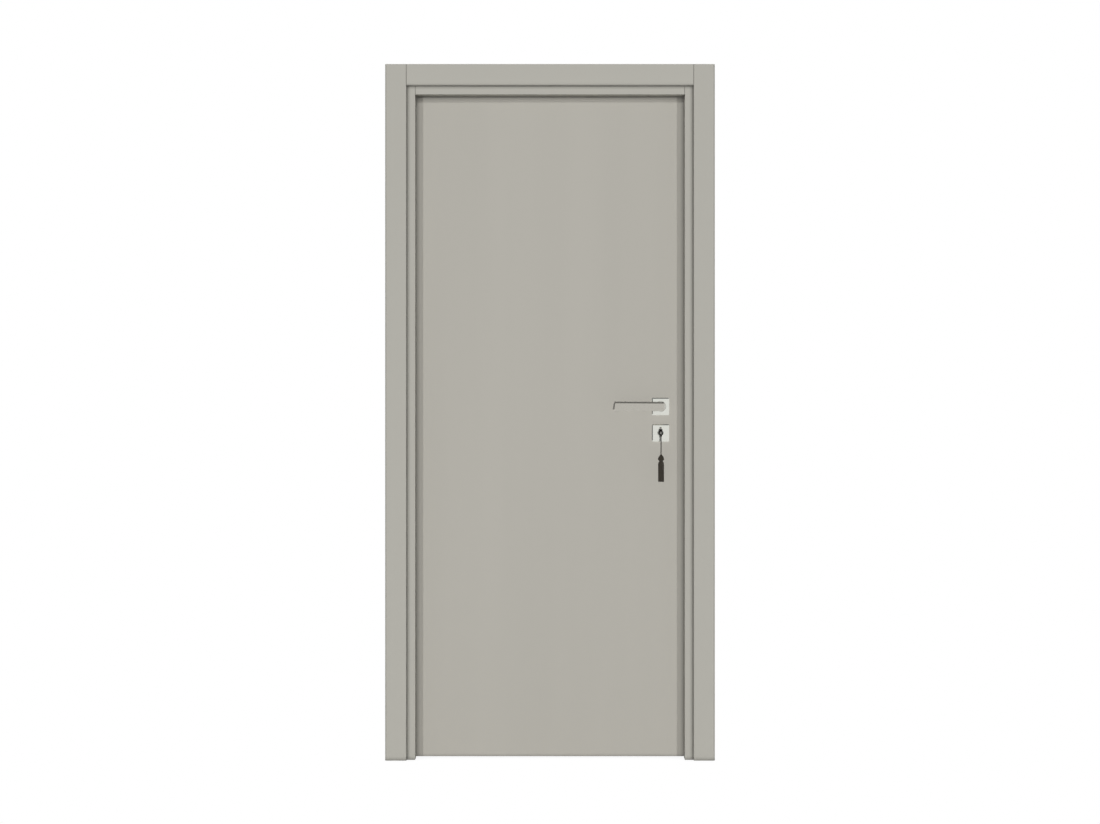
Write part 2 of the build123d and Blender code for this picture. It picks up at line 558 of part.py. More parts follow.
# Roses, key plates and levers on both faces of the leaf
for face, leaf_face, outward in (("front", LEAF_FRONT, -1), ("back", LEAF_BACK, 1)):
    plate_face = leaf_face + outward * PLATE_THICKNESS
    show_face = 0 if outward < 0 else -1
    with BuildPart() as rose:
        with BuildSketch(Plane.XZ.offset(-leaf_face)):
            with Locations((SPINDLE_X, SPINDLE_HEIGHT)):
                RectangleRounded(PLATE_SIZE, PLATE_SIZE, PLATE_CORNER)
        extrude(amount=-outward * PLATE_THICKNESS)
        rose_face = rose.faces().sort_by(Axis.Y)[show_face]
        chamfer(rose_face.edges(), PLATE_BEVEL_WIDTH, PLATE_BEVEL_DEPTH, reference=rose_face)
        with BuildSketch(Plane.XZ.offset(-plate_face)):
            with Locations((SPINDLE_X, SPINDLE_HEIGHT)):
                Circle(COLLAR_BOSS_RADIUS)
        extrude(amount=-outward * COLLAR_BOSS_HEIGHT)
        chamfer(rose.faces().sort_by(Axis.Y)[show_face].edges(), COLLAR_BOSS_BEVEL)
        with BuildSketch(Plane.XZ.offset(-leaf_face)):
            with Locations((SPINDLE_X, SPINDLE_HEIGHT)):
                Circle(NECK_RADIUS + NECK_CLEARANCE)
        extrude(amount=-outward * (PLATE_THICKNESS + COLLAR_BOSS_HEIGHT), mode=Mode.SUBTRACT)
    save(rose, f"{face}_lever_rose")

    with BuildPart() as key_plate:
        with BuildSketch(Plane.XZ.offset(-leaf_face)):
            with Locations((SPINDLE_X, KEY_HEIGHT - KEY_PLATE_DROP)):
                RectangleRounded(PLATE_SIZE, PLATE_SIZE, PLATE_CORNER)
        extrude(amount=-outward * PLATE_THICKNESS)
        key_plate_face = key_plate.faces().sort_by(Axis.Y)[show_face]
        chamfer(key_plate_face.edges(), PLATE_BEVEL_WIDTH, PLATE_BEVEL_DEPTH, reference=key_plate_face)
        with BuildSketch(Plane.XZ.offset(-leaf_face)):
            with Locations((SPINDLE_X, KEY_HEIGHT)):
                Circle(KEYHOLE_RADIUS)
            upright(
                SPINDLE_X - KEYHOLE_SLOT_WIDTH / 2,
                SPINDLE_X + KEYHOLE_SLOT_WIDTH / 2,
                KEY_HEIGHT - KEYHOLE_SLOT_DEPTH,
                KEY_HEIGHT,
            )
        extrude(amount=-outward * PLATE_THICKNESS, mode=Mode.SUBTRACT)
    save(key_plate, f"{face}_key_plate")

    with BuildPart() as lever:
        neck_start = leaf_face + outward * NECK_FACE_GAP
        land_end = plate_face + outward * NECK_LAND
        blade_near = leaf_face + outward * LEVER_STAND_OFF
        with BuildSketch(Plane.XZ.offset(-blade_near)) as blade_outline:
            with BuildLine():
                Polyline(
                    (SPINDLE_X + LEVER_HEEL, SPINDLE_HEIGHT - LEVER_HEEL_HEIGHT / 2),
                    (SPINDLE_X + LEVER_HEEL, SPINDLE_HEIGHT + LEVER_HEEL_HEIGHT / 2),
                    (SPINDLE_X - LEVER_REACH + LEVER_SLANT, SPINDLE_HEIGHT + LEVER_TIP_HEIGHT / 2),
                    (SPINDLE_X - LEVER_REACH, SPINDLE_HEIGHT - LEVER_TIP_HEIGHT / 2),
                    close=True,
                )
            make_face()
            fillet(blade_outline.vertices(), LEVER_CORNER_RADIUS)
        extrude(amount=-outward * LEVER_THICKNESS)
        far_face = lever.faces().sort_by(Axis.Y)[show_face]
        near_face = lever.faces().sort_by(Axis.Y)[-1 - show_face]
        fillet(near_face.edges(), LEVER_EDGE_RADIUS)
        chamfer(far_face.edges(), LEVER_BEVEL_WIDTH, LEVER_BEVEL_DEPTH, reference=far_face)
        with BuildSketch(Plane.XZ.offset(-neck_start)):
            with Locations((SPINDLE_X, SPINDLE_HEIGHT)):
                Circle(NECK_RADIUS)
        extrude(amount=-(land_end - neck_start))
        with BuildSketch(Plane.XZ.offset(-land_end)):
            with Locations((SPINDLE_X, SPINDLE_HEIGHT)):
                Circle(NECK_WAIST_RADIUS)
        extrude(amount=-(blade_near + outward * LEVER_EDGE_RADIUS - land_end))
        with BuildSketch(Plane.XZ.offset(-neck_start)):
            with Locations((SPINDLE_X, SPINDLE_HEIGHT)):
                Rectangle(SPINDLE_SIZE + 2 * SPINDLE_CLEARANCE, SPINDLE_SIZE + 2 * SPINDLE_CLEARANCE)
        extrude(amount=-outward * SPINDLE_SOCKET_DEPTH, mode=Mode.SUBTRACT)
    save(lever, f"{face}_lever")

# Spindle through the lock, its ends in the lever sockets
with BuildPart() as spindle:
    spindle_front = LEAF_FRONT - NECK_FACE_GAP - SPINDLE_SOCKET_DEPTH
    spindle_back = LEAF_BACK + NECK_FACE_GAP + SPINDLE_SOCKET_DEPTH
    with BuildSketch(Plane.XZ.offset(-spindle_front)):
        with Locations((SPINDLE_X, SPINDLE_HEIGHT)):
            Rectangle(SPINDLE_SIZE, SPINDLE_SIZE)
    extrude(amount=-(spindle_back - spindle_front))
save(spindle, "spindle")

# Key in the lock: ring bow edge on to the view, collar, shank and notched bit
BOW_NEAR = LEAF_FRONT - PLATE_THICKNESS - BOW_STAND_OFF
BOW_FAR = BOW_NEAR - BOW_LENGTH
SHANK_TIP = LEAF_MIDDLE + CASE_THICKNESS / 2 + KEY_TIP_LENGTH
with BuildPart() as key:
    with BuildSketch(Plane.YZ.offset(SPINDLE_X)):
        with Locations(((BOW_NEAR + BOW_FAR) / 2, KEY_HEIGHT)):
            RectangleRounded(BOW_LENGTH, BOW_HEIGHT, BOW_CORNER_RADIUS)
            RectangleRounded(
                BOW_LENGTH - 2 * BOW_BAR,
                BOW_HEIGHT - 2 * BOW_BAR,
                BOW_CORNER_RADIUS - BOW_BAR,
                mode=Mode.SUBTRACT,
            )
    extrude(amount=BOW_THICKNESS / 2, both=True)
    fillet(key.faces().filter_by(Axis.X).edges(), BOW_EDGE_RADIUS)
    with BuildSketch(Plane.XZ.offset(-(BOW_NEAR - BOW_BAR / 2))):
        with Locations((SPINDLE_X, KEY_HEIGHT)):
            Circle(SHANK_RADIUS)
    extrude(amount=-(SHANK_TIP - BOW_NEAR + BOW_BAR / 2))
    with BuildSketch(Plane.XZ.offset(-BOW_NEAR)):
        with Locations((SPINDLE_X, KEY_HEIGHT)):
            Circle(COLLAR_RADIUS)
    extrude(amount=-COLLAR_LENGTH)
    with BuildSketch(Plane.XZ.offset(-(LEAF_MIDDLE - BIT_LENGTH / 2))):
        upright(
            SPINDLE_X - BIT_THICKNESS / 2,
            SPINDLE_X + BIT_THICKNESS / 2,
            KEY_HEIGHT - BIT_DROP,
            KEY_HEIGHT,
        )
    extrude(amount=-BIT_LENGTH)
    with BuildSketch(Plane.YZ.offset(SPINDLE_X)):
        with Locations((LEAF_MIDDLE, KEY_HEIGHT - BIT_DROP)):
            Rectangle(BIT_NOTCH, BIT_DROP)
    extrude(amount=BIT_THICKNESS, both=True, mode=Mode.SUBTRACT)
save(key, "key")

# Cord hitch, cinched on the bow's far bar
HITCH_CENTRE = BOW_FAR + BOW_BAR / 2
with BuildPart() as cord_hitch:
    with BuildSketch(Plane.XY.offset(KEY_HEIGHT - HITCH_HEIGHT / 2)):
        with Locations((SPINDLE_X, HITCH_CENTRE)):
            Circle(HITCH_RADIUS)
            Rectangle(
                BOW_THICKNESS + 2 * HITCH_CLEARANCE,
                BOW_BAR + 2 * HITCH_CLEARANCE,
                mode=Mode.SUBTRACT,
            )
    extrude(amount=HITCH_HEIGHT)
save(cord_hitch, "cord_hitch")

# Cord loop with its knot, hanging in front of the hitch
LOOP_Y = HITCH_CENTRE - HITCH_RADIUS - HITCH_LOOP_GAP - LOOP_CORD_RADIUS
LOOP_CENTRE = KEY_HEIGHT - LOOP_DROP
KNOT_TOP = LOOP_CENTRE - LOOP_RADIUS + LOOP_CORD_RADIUS
CORD_TOP = KNOT_TOP - KNOT_HEIGHT
with BuildPart() as tassel_loop:
    with Locations((SPINDLE_X, LOOP_Y, LOOP_CENTRE)):
        Torus(LOOP_RADIUS, LOOP_CORD_RADIUS, rotation=(90, 0, 0))
    with BuildSketch(Plane.XY.offset(CORD_TOP)):
        with Locations((SPINDLE_X, LOOP_Y)):
            Circle(KNOT_RADIUS)
    extrude(amount=KNOT_HEIGHT)
save(tassel_loop, "tassel_loop")

with BuildPart() as tassel_cord:
    with BuildSketch(Plane.XY.offset(CORD_TOP - CORD_LENGTH)):
        with Locations((SPINDLE_X, LOOP_Y)):
            Circle(CORD_RADIUS)
    extrude(amount=CORD_LENGTH)
save(tassel_cord, "tassel_cord")

# Tassel head and skirt, turned about the cord
HEAD_TOP = CORD_TOP - CORD_LENGTH
NECK_LEVEL = HEAD_TOP - TASSEL_HEAD_HEIGHT
TASSEL_END = NECK_LEVEL - TASSEL_SKIRT_LENGTH
tassel_plane = Plane(origin=(SPINDLE_X, LOOP_Y, 0), x_dir=(1, 0, 0), z_dir=(0, -1, 0))
tassel_axis = Axis((SPINDLE_X, LOOP_Y, 0), (0, 0, 1))
with BuildPart() as tassel_head:
    with BuildSketch(tassel_plane):
        with BuildLine():
            Line((0, HEAD_TOP), (CORD_RADIUS, HEAD_TOP))
            Spline(
                (CORD_RADIUS, HEAD_TOP),
                (TASSEL_HEAD_RADIUS, HEAD_TOP - TASSEL_HEAD_BELLY),
                (TASSEL_NECK_RADIUS, NECK_LEVEL),
                tangents=[(1, -1), (-1, -2)],
            )
            Polyline((TASSEL_NECK_RADIUS, NECK_LEVEL), (0, NECK_LEVEL), (0, HEAD_TOP))
        make_face()
    revolve(axis=tassel_axis)
save(tassel_head, "tassel_head")

with BuildPart() as tassel_skirt:
    with BuildSketch(tassel_plane):
        with BuildLine():
            Polyline(
                (0, NECK_LEVEL),
                (TASSEL_NECK_RADIUS, NECK_LEVEL),
                (TASSEL_SKIRT_RADIUS, NECK_LEVEL - TASSEL_SKIRT_SHOULDER),
                (TASSEL_SKIRT_RADIUS, TASSEL_END),
                (0, TASSEL_END),
                close=True,
            )
        make_face()
    revolve(axis=tassel_axis)
save(tassel_skirt, "tassel_skirt")
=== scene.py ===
# %% [markdown]
# # A lacquered interior door set
#
# The construction is finished before this file starts: lining, leaf, hinges, lock and handles arrive as
# a fixed frame in metres. What is left is everything the eye adds: lacquer, rubber, nickel, steel and
# thread, the screws, and the tassel on the key, whose plain stand-in solids are replaced by real twisted
# cord and fringe.

import bmesh
import bpy
import numpy as np
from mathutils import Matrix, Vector


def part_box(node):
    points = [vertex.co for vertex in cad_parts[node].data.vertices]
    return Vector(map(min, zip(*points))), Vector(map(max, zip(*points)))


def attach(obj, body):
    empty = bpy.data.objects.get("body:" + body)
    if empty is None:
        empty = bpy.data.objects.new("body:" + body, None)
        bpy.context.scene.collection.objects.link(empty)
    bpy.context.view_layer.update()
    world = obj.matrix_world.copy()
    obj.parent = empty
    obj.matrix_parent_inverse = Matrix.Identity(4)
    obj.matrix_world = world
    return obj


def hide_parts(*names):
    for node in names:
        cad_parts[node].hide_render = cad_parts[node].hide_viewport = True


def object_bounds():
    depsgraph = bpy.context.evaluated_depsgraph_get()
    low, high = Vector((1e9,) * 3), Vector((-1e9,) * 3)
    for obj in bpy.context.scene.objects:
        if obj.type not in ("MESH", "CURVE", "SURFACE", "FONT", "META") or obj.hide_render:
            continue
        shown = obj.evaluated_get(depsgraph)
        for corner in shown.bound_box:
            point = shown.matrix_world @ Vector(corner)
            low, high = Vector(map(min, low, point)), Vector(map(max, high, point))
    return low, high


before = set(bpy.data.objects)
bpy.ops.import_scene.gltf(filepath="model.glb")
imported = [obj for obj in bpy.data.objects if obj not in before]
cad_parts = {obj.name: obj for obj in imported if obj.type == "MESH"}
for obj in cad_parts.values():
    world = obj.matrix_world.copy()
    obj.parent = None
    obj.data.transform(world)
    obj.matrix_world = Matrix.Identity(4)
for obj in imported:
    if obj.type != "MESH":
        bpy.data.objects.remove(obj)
cad_low, cad_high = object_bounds()
MILLIMETRE = 0.001
print("frame loaded:", len(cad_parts), "nodes, box", tuple(cad_low), tuple(cad_high))

# %% [markdown]
# ## Surfaces from arrays
#
# Every new piece below is a surface with two parameters: along and around. The positions are worked out
# as one array of shape (rows, columns, 3), and neighbouring entries become quads. A piece made of many
# such surfaces is gathered in one mesh. Afterwards doubled points at poles and seams are merged and the
# faces turned outwards.


# %% Points, grids and pieces
def points_at(x, y, z):
    """Points from their coordinates, where one value may stand for a whole row or column."""
    return np.stack(np.broadcast_arrays(x, y, z), axis=-1)


def round_angles(count):
    """Evenly spaced angles once round, without the last one, which would be the first again."""
    return np.linspace(0, 2 * np.pi, count, endpoint=False)


def grid_faces(rows, columns, first):
    """Quads between neighbours of a grid whose columns run round and close on themselves."""
    row = np.arange(rows - 1)[:, None]
    column = np.arange(columns)[None, :]
    following = (column + 1) % columns
    corners = (
        row * columns + column,
        row * columns + following,
        (row + 1) * columns + following,
        (row + 1) * columns + column,
    )
    return first + np.stack([c.reshape(-1) for c in corners], axis=1)


def gather(surfaces):
    """Points and faces of several grids in one mesh, with a face over each grid's first and last row."""
    points, faces, first = [], [], 0
    for surface in surfaces:
        rows, columns, _ = surface.shape
        points.append(surface.reshape(-1, 3))
        faces += grid_faces(rows, columns, first).tolist()
        faces.append(list(range(first, first + columns)))
        last = first + (rows - 1) * columns
        faces.append(list(range(last, last + columns)))
        first += rows * columns
    return np.concatenate(points), faces


def place(name, data):
    """A new object in the scene that holds a mesh, a light or a camera."""
    placed = bpy.data.objects.new(name, data)
    bpy.context.scene.collection.objects.link(placed)
    return placed


MERGE_DISTANCE = 1e-7


def make_piece(name, surfaces, material, body):
    """Builds one closed, outward facing piece from its surfaces, and lets it ride on a body of the frame."""
    points, faces = gather(surfaces)
    mesh = bpy.data.meshes.new(name)
    mesh.from_pydata(points.tolist(), [], faces)
    shell = bmesh.new()
    shell.from_mesh(mesh)
    bmesh.ops.remove_doubles(shell, verts=shell.verts, dist=MERGE_DISTANCE)
    bmesh.ops.recalc_face_normals(shell, faces=shell.faces)
    shell.to_mesh(mesh)
    shell.free()
    mesh.shade_smooth()
    mesh.materials.append(material)
    piece = place(name, mesh)
    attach(piece, body)
    print("made", name, "with", len(mesh.polygons), "faces")
    return piece


# %% Tubes and twisted cord
def unit(vectors):
    """Vectors divided by their own lengths."""
    return vectors / np.linalg.norm(vectors, axis=-1, keepdims=True)


def cross_axes(path, reference):
    """Two directions square to a path: tangent times reference, and tangent times that."""
    tangent = unit(np.gradient(path, axis=0))
    first = unit(np.cross(tangent, reference))
    return first, np.cross(tangent, first)


def tube(path, radius, sides, reference):
    """A circle carried along a path: point = path + radius * (cos(a) * first axis + sin(a) * second axis)."""
    first, second = cross_axes(path, reference)
    around = round_angles(sides)[None, :, None]
    ring = np.cos(around) * first[:, None] + np.sin(around) * second[:, None]
    return path[:, None] + radius * ring


STRAND_SHARE = 0.62


def twisted(path, thickness, strands, turns, sides, reference):
    """Laid cord: each strand's path circles the cord's path evenly, and carries a tube of its own."""
    strand_radius = thickness / 2 * STRAND_SHARE
    offset = thickness / 2 - strand_radius
    first, second = cross_axes(path, reference)
    along = np.linspace(0, 2 * np.pi * turns, len(path))[:, None]
    paths = [
        path + offset * (np.cos(along + start) * first + np.sin(along + start) * second)
        for start in round_angles(strands)
    ]
    return [tube(strand_path, strand_radius, sides, reference) for strand_path in paths]


# %% [markdown]
# ## Finishes
#
# A sprayed lacquer looks plain, but up close it has a faint orange peel, long soft streaks from spraying
# up and down, and gloss that isn't quite even. Its colour also carries painted shade: an ambient occlusion
# node darkens it in corners and beside steps. Metals are mostly reflection, so their detail is brushing
# in the roughness and a little bump. All patterns read Object coordinates, which are the door's own metres.


# %% Helpers for node materials
def new_material(name):
    """A node material with its shader, and the tools to add nodes to it."""
    material = bpy.data.materials.new(name)
    material.use_nodes = True
    nodes = material.node_tree.nodes
    return material, nodes, material.node_tree.links, nodes["Principled BSDF"]


def stretched_noise(nodes, links, stretch, scale, detail):
    """Noise on Object coordinates, drawn out by scaling each axis: a small factor makes long streaks."""
    coordinates = nodes.new("ShaderNodeTexCoord")
    mapping = nodes.new("ShaderNodeMapping")
    mapping.inputs["Scale"].default_value = stretch
    links.new(coordinates.outputs["Object"], mapping.inputs["Vector"])
    noise = nodes.new("ShaderNodeTexNoise")
    noise.inputs["Scale"].default_value = scale
    noise.inputs["Detail"].default_value = detail
    links.new(mapping.outputs["Vector"], noise.inputs["Vector"])
    return noise.outputs["Fac"]


MIDDLE_START = 0.25
MIDDLE_END = 0.75


def ranged(nodes, links, value, low, high):
    """The middle half of a value's range, spread over low to high."""
    spread = nodes.new("ShaderNodeMapRange")
    spread.inputs["From Min"].default_value = MIDDLE_START
    spread.inputs["From Max"].default_value = MIDDLE_END
    spread.inputs["To Min"].default_value = low
    spread.inputs["To Max"].default_value = high
    links.new(value, spread.inputs["Value"])
    return spread.outputs["Result"]


TINT_START = 0.3
TINT_END = 0.7


def tinted(nodes, links, value, dark, light):
    """A colour between two tones, chosen by a noise value."""
    ramp = nodes.new("ShaderNodeValToRGB")
    dark_end, light_end = ramp.color_ramp.elements
    dark_end.position = TINT_START
    dark_end.color = (*dark, 1)
    light_end.position = TINT_END
    light_end.color = (*light, 1)
    links.new(value, ramp.inputs["Fac"])
    return ramp.outputs["Color"]


def bumped(nodes, links, shader, height, distance, strength):
    """Fine relief from a height value, fed to the shader's normal."""
    bump = nodes.new("ShaderNodeBump")
    bump.inputs["Strength"].default_value = strength
    bump.inputs["Distance"].default_value = distance
    links.new(height, bump.inputs["Height"])
    links.new(bump.outputs["Normal"], shader.inputs["Normal"])


def larger_of(nodes, links, value):
    """A node that gives the larger of a value and its second input, which is still to be filled."""
    larger = nodes.new("ShaderNodeMath")
    larger.operation = "MAXIMUM"
    links.new(value, larger.inputs[0])
    return larger


def shades(colour, spread):
    """A colour made a little darker, and the same colour made as much lighter."""
    return [tuple(channel * factor for channel in colour) for factor in (1 - spread, 1 + spread)]


# %% Lacquer on the lining and the leaf
EVEN = (1, 1, 1)
# Painted shade: how far from a corner or a step the lacquer's colour is darkened.
PAINTED_SHADE_REACH = 14 * MILLIMETRE
LACQUER_TONE_SPREAD = 0.015
LACQUER_SPECULAR = 0.15


def lacquer(name, colour, streak_axis_stretch, painted_shade_limit):
    """Satin lacquer: long streaks in the tone, painted shade in corners, orange peel relief, uneven gloss."""
    material, nodes, links, shader = new_material(name)
    streaks = stretched_noise(nodes, links, streak_axis_stretch, scale=6.0, detail=3.0)
    tone = tinted(nodes, links, streaks, *shades(colour, LACQUER_TONE_SPREAD))
    # Painted shade: an ambient occlusion node darkens the tone in corners and beside steps, never below the
    # given limit.
    corners = nodes.new("ShaderNodeAmbientOcclusion")
    corners.inputs["Distance"].default_value = PAINTED_SHADE_REACH
    held_painted_shade = larger_of(nodes, links, corners.outputs["AO"])
    held_painted_shade.inputs[1].default_value = painted_shade_limit
    painted_shade_tone = nodes.new("ShaderNodeVectorMath")
    painted_shade_tone.operation = "SCALE"
    links.new(tone, painted_shade_tone.inputs["Vector"])
    links.new(held_painted_shade.outputs["Value"], painted_shade_tone.inputs["Scale"])
    links.new(painted_shade_tone.outputs["Vector"], shader.inputs["Base Color"])
    cloud = stretched_noise(nodes, links, EVEN, scale=9.0, detail=4.0)
    links.new(ranged(nodes, links, cloud, low=0.6, high=0.7), shader.inputs["Roughness"])
    peel = stretched_noise(nodes, links, EVEN, scale=420.0, detail=2.0)
    bumped(nodes, links, shader, peel, distance=0.06 * MILLIMETRE, strength=0.35)
    shader.inputs["Specular IOR Level"].default_value = LACQUER_SPECULAR
    return material


UPRIGHT_STREAKS = (1.0, 1.0, 0.06)
LEVEL_STREAKS = (0.06, 1.0, 1.0)
LEAF_GREY = (0.443, 0.427, 0.385)
FRAME_GREY = (0.438, 0.427, 0.386)
# Painted corner shade on the lining and on the leaf's faces, and none on the leaf's edges.
PAINTED_CORNER_SHADE = 0.5
NO_PAINTED_SHADE = 1.0
leaf_lacquer = lacquer("leaf_lacquer", LEAF_GREY, UPRIGHT_STREAKS, PAINTED_CORNER_SHADE)
edge_lacquer = lacquer("leaf_edge_lacquer", LEAF_GREY, UPRIGHT_STREAKS, NO_PAINTED_SHADE)
upright_lacquer = lacquer("upright_frame_lacquer", FRAME_GREY, UPRIGHT_STREAKS, PAINTED_CORNER_SHADE)
level_lacquer = lacquer("level_frame_lacquer", FRAME_GREY, LEVEL_STREAKS, PAINTED_CORNER_SHADE)
print("lacquers ready")

# %% Rubber of the seals
RUBBER_DARK = (0.085, 0.083, 0.078)
RUBBER_LIGHT = (0.115, 0.112, 0.105)
EXTRUSION_STRETCH = (1, 1, 0.02)


def seal_rubber_material():
    """Grey soft rubber: dull, with a bloom of paler patches and fine extrusion lines along its length."""
    material, nodes, links, shader = new_material("seal_rubber")
    bloom = stretched_noise(nodes, links, EVEN, scale=40.0, detail=4.0)
    links.new(tinted(nodes, links, bloom, RUBBER_DARK, RUBBER_LIGHT), shader.inputs["Base Color"])
    links.new(ranged(nodes, links, bloom, low=0.65, high=0.8), shader.inputs["Roughness"])
    lines = stretched_noise(nodes, links, EXTRUSION_STRETCH, scale=900.0, detail=2.0)
    bumped(nodes, links, shader, lines, distance=0.1 * MILLIMETRE, strength=0.3)
    return material


seal_rubber = seal_rubber_material()
print("rubber ready")

# %% Metals
METAL_TONE_SPREAD = 0.04


def brushed_metal(name, colour, brush_stretch, roughness, grain):
    """Metal whose tone, gloss and relief all follow fine brush lines."""
    material, nodes, links, shader = new_material(name)
    lines = stretched_noise(nodes, links, brush_stretch, scale=1500.0, detail=3.0)
    tone = tinted(nodes, links, lines, *shades(colour, METAL_TONE_SPREAD))
    links.new(tone, shader.inputs["Base Color"])
    links.new(ranged(nodes, links, lines, roughness - grain, roughness + grain), shader.inputs["Roughness"])
    bumped(nodes, links, shader, lines, distance=0.03 * MILLIMETRE, strength=0.25)
    shader.inputs["Metallic"].default_value = 1.0
    return material


LEVEL_BRUSH = (0.03, 1.0, 1.0)
UPRIGHT_BRUSH = (1.0, 1.0, 0.03)
plate_nickel = brushed_metal("plate_nickel", (0.677, 0.683, 0.632), LEVEL_BRUSH, roughness=0.12, grain=0.02)
lever_nickel = brushed_metal("lever_nickel", (0.484, 0.467, 0.421), LEVEL_BRUSH, roughness=0.28, grain=0.02)
hinge_steel = brushed_metal("hinge_steel", (0.52, 0.515, 0.50), UPRIGHT_BRUSH, roughness=0.34, grain=0.06)
lock_steel = brushed_metal("lock_steel", (0.50, 0.495, 0.48), UPRIGHT_BRUSH, roughness=0.36, grain=0.06)
key_steel = brushed_metal("key_steel", (0.40, 0.39, 0.37), UPRIGHT_BRUSH, roughness=0.28, grain=0.05)
print("metals ready")

# %% Thread of the tassel
DYE_STRETCH = (1, 1, 0.2)
FIBRE_STRETCH = (1, 1, 0.35)
SHEEN_ROUGHNESS = 0.5
THREAD_SPECULAR = 0.2


def thread_material(name, dark, light, sheen):
    """Dull dyed thread: uneven dye, a soft sheen on the fibres, and twist lines as relief."""
    material, nodes, links, shader = new_material(name)
    dye = stretched_noise(nodes, links, DYE_STRETCH, scale=700.0, detail=4.0)
    links.new(tinted(nodes, links, dye, dark, light), shader.inputs["Base Color"])
    links.new(ranged(nodes, links, dye, low=0.75, high=0.92), shader.inputs["Roughness"])
    fibres = stretched_noise(nodes, links, FIBRE_STRETCH, scale=3500.0, detail=2.0)
    bumped(nodes, links, shader, fibres, distance=0.2 * MILLIMETRE, strength=0.6)
    shader.inputs["Sheen Weight"].default_value = sheen
    shader.inputs["Sheen Roughness"].default_value = SHEEN_ROUGHNESS
    shader.inputs["Specular IOR Level"].default_value = THREAD_SPECULAR
    return material


tassel_thread = thread_material("tassel_thread", (0.0295, 0.025, 0.018), (0.051, 0.044, 0.034), sheen=0.15)
cord_thread = thread_material("cord_thread", (0.003, 0.003, 0.0025), (0.007, 0.0065, 0.006), sheen=0.02)
print("threads ready")

# %% Give each solid its finish
HINGE_LEVELS = ("upper", "middle", "lower")
finishes = {
    "hinge_jamb": upright_lacquer,
    "strike_jamb": upright_lacquer,
    "head_jamb": level_lacquer,
    "strike_plate": lock_steel,
    "lock_case": lock_steel,
    "latch_bolt": lock_steel,
    "dead_bolt": lock_steel,
    "spindle": lock_steel,
    "key": key_steel,
    "cord_hitch": cord_thread,
    "tassel_loop": cord_thread,
    "tassel_cord": cord_thread,
    "tassel_head": tassel_thread,
    "tassel_skirt": tassel_thread,
}
for face in ("front", "back"):
    finishes[f"{face}_hinge_architrave"] = upright_lacquer
    finishes[f"{face}_strike_architrave"] = upright_lacquer
    finishes[f"{face}_head_architrave"] = level_lacquer
    finishes[f"leaf_{face}_skin"] = leaf_lacquer
    finishes[f"{face}_lever_rose"] = plate_nickel
    finishes[f"{face}_key_plate"] = plate_nickel
    finishes[f"{face}_lever"] = lever_nickel
for seal in ("hinge_side_seal", "strike_side_seal", "head_seal"):
    finishes[seal] = seal_rubber
for edge in ("leaf_hinge_stile", "leaf_lock_stile", "leaf_top_rail", "leaf_bottom_rail"):
    finishes[edge] = edge_lacquer
for level in HINGE_LEVELS:
    for owner in ("frame", "leaf"):
        finishes[f"{level}_{owner}_hinge"] = hinge_steel
for node_name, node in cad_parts.items():
    node.data.materials.clear()
    node.data.materials.append(finishes[node_name])
print("finishes on", len(finishes), "solids")

# %% [markdown]
# ## Screws
#
# Open the door and the hinges, the lock's forend and the strike plate show their screws. A countersunk
# head is a low dome with a cross cut in it, so its height is a function of radius and angle: a parabola,
# minus a soft-edged cross. One grid per head is enough, and all heads on a plate are one piece.

# %% Screw heads
HEAD_RADIUS = 4.2 * MILLIMETRE
HEAD_RISE = 0.55 * MILLIMETRE
HEAD_EDGE = 0.2 * MILLIMETRE
CROSS_DEPTH = 0.45 * MILLIMETRE
CROSS_WIDTH = 0.55 * MILLIMETRE
CROSS_REACH = 2.4 * MILLIMETRE
CROSS_SOFTNESS = 0.15 * MILLIMETRE
HEAD_RINGS = 22
HEAD_SIDES = 48


def smooth(share):
    """A rise from 0 to 1 that starts and ends level."""
    return share * share * (3 - 2 * share)


def soft_step(distance):
    """1 well inside an edge, 0 well outside it, smooth between."""
    return smooth(np.clip(0.5 - distance / (2 * CROSS_SOFTNESS), 0, 1))


def screw_head(centre, outward, turn):
    """Height = edge + (rise - edge) * (1 - r * r) - depth * cross, with a last ring down on the plate."""
    share = np.linspace(0, 1, HEAD_RINGS)[:, None]
    angle = round_angles(HEAD_SIDES)[None, :]
    across = HEAD_RADIUS * share * np.cos(angle)
    along = HEAD_RADIUS * share * np.sin(angle)
    arm = soft_step(np.abs(across) - CROSS_WIDTH) * soft_step(np.abs(along) - CROSS_REACH)
    other_arm = soft_step(np.abs(along) - CROSS_WIDTH) * soft_step(np.abs(across) - CROSS_REACH)
    height = HEAD_EDGE + (HEAD_RISE - HEAD_EDGE) * (1 - share**2) - CROSS_DEPTH * np.maximum(arm, other_arm)
    height = np.vstack([height, np.zeros((1, HEAD_SIDES))])
    across = np.vstack([across, across[-1:]])
    along = np.vstack([along, along[-1:]])
    turned_y = np.cos(turn) * across - np.sin(turn) * along
    turned_z = np.sin(turn) * across + np.cos(turn) * along
    return points_at(centre[0] + outward * height, centre[1] + turned_y, centre[2] + turned_z)


